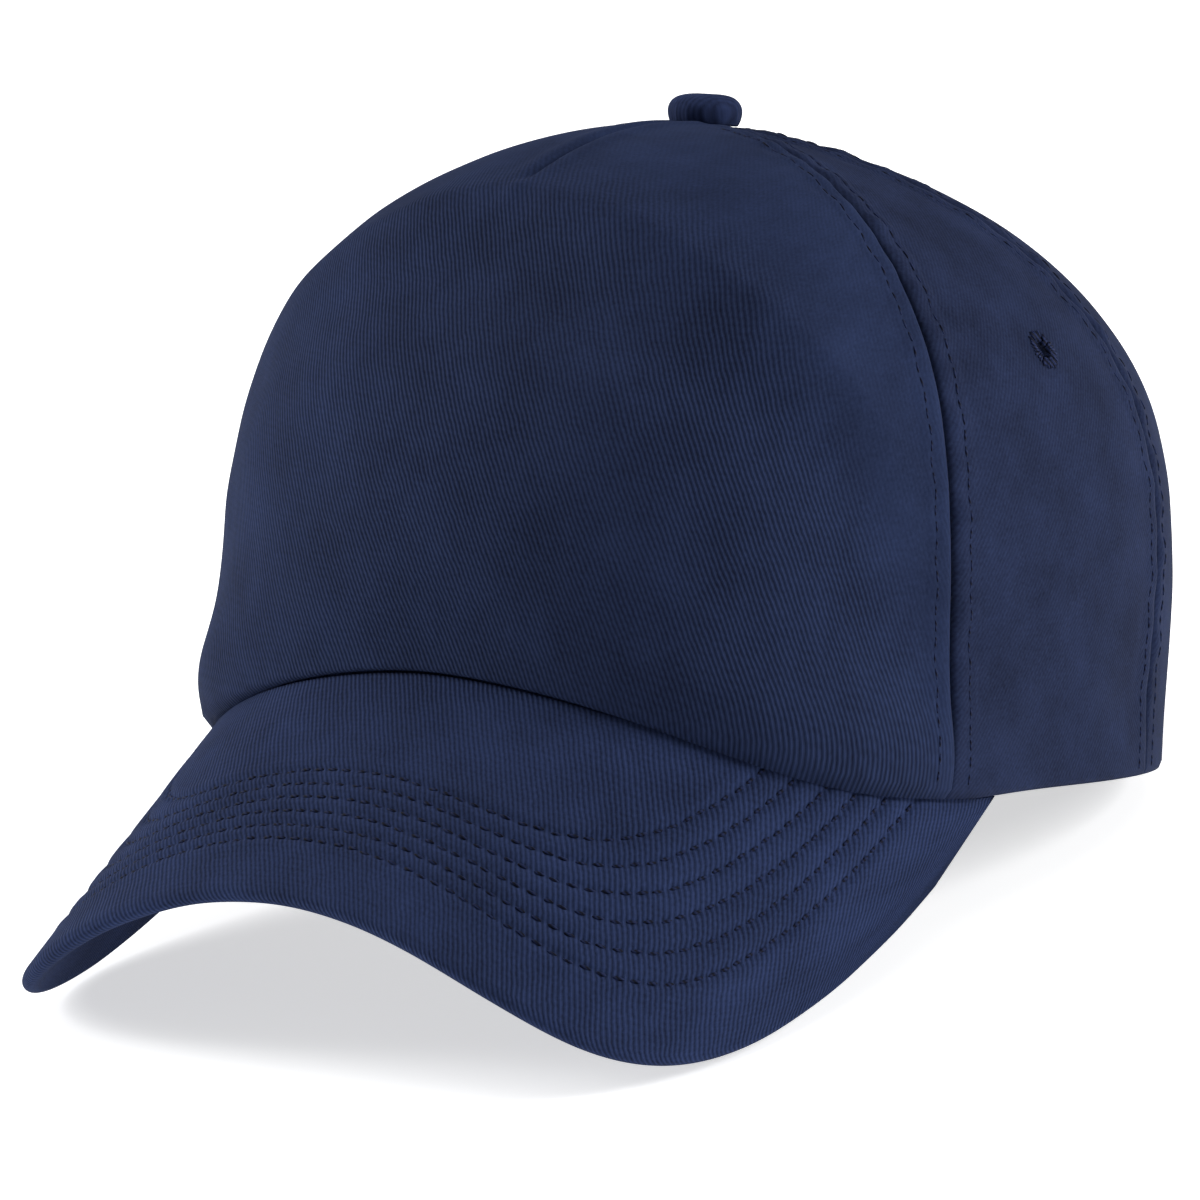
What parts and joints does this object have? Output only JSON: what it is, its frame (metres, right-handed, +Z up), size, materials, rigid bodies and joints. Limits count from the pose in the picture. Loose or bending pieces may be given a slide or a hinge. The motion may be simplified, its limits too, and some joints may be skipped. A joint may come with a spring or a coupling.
{
  "type": "baseball cap",
  "caption": "Navy baseball cap with a seamless front panel, pre-curved stitched visor, covered top button, sewn eyelets and a hook-and-loop strap across the rear arch.",
  "frame": {"origin": "centre of the bounding box at floor level, the cap standing on the two low sides of its visor and the back of its hem", "axes": "+Z up, -Y the way the visor points, +X the wearer's left"},
  "size_m": [0.171, 0.2538, 0.1511],
  "materials": {
    "cotton_drill": "navy cotton drill, 3/1 twill, matt",
    "eyelet_thread": "navy polyester embroidery thread, satin",
    "cotton_tape": "navy plain-weave tape",
    "buckram": "white stiffened open weave",
    "sweatband_cotton": "navy cotton twill",
    "foam_pad": "soft white needled pad",
    "visor_board": "flexible moulded polyethylene board",
    "label_ribbon": "blank white woven satin ribbon",
    "hook_and_loop": "navy nylon hook and loop",
    "button_metal": "pressed steel, plain"
  },
  "bodies": {
    "crown": {"button_back_washer": "button_metal", "button_cover": "cotton_drill", "button_shank": "button_metal", "button_shell": "button_metal", "care_label": "label_ribbon", "eyelet_rear_left": "eyelet_thread", "eyelet_rear_right": "eyelet_thread", "eyelet_side_left": "eyelet_thread", "eyelet_side_right": "eyelet_thread", "front_buckram": "buckram", "front_panel": "cotton_drill", "hook_strap_end": "cotton_drill", "loop_strap": "cotton_drill", "loop_tape": "hook_and_loop", "rear_opening_binding": "cotton_tape", "rear_panel_left": "cotton_drill", "rear_panel_right": "cotton_drill", "seam_tape_front_left": "cotton_tape", "seam_tape_front_right": "cotton_tape", "seam_tape_rear_centre": "cotton_tape", "seam_tape_rear_left": "cotton_tape", "seam_tape_rear_right": "cotton_tape", "side_panel_left": "cotton_drill", "side_panel_right": "cotton_drill", "sweatband": "sweatband_cotton", "sweatband_padding": "foam_pad", "visor_board": "visor_board", "visor_top_cover": "cotton_drill", "visor_under_cover": "cotton_drill"},
    "strap_tail": {"hook_strap": "cotton_drill", "hook_tape": "hook_and_loop"}
  },
  "joints": [
    {"name": "strap_peel", "type": "hinge", "parent": "crown", "child": "strap_tail", "pos_m": [-0.03285, 0.11379, 0.00989], "axis": [0, 0, 1], "range_deg": [0, 100]}
  ]
}
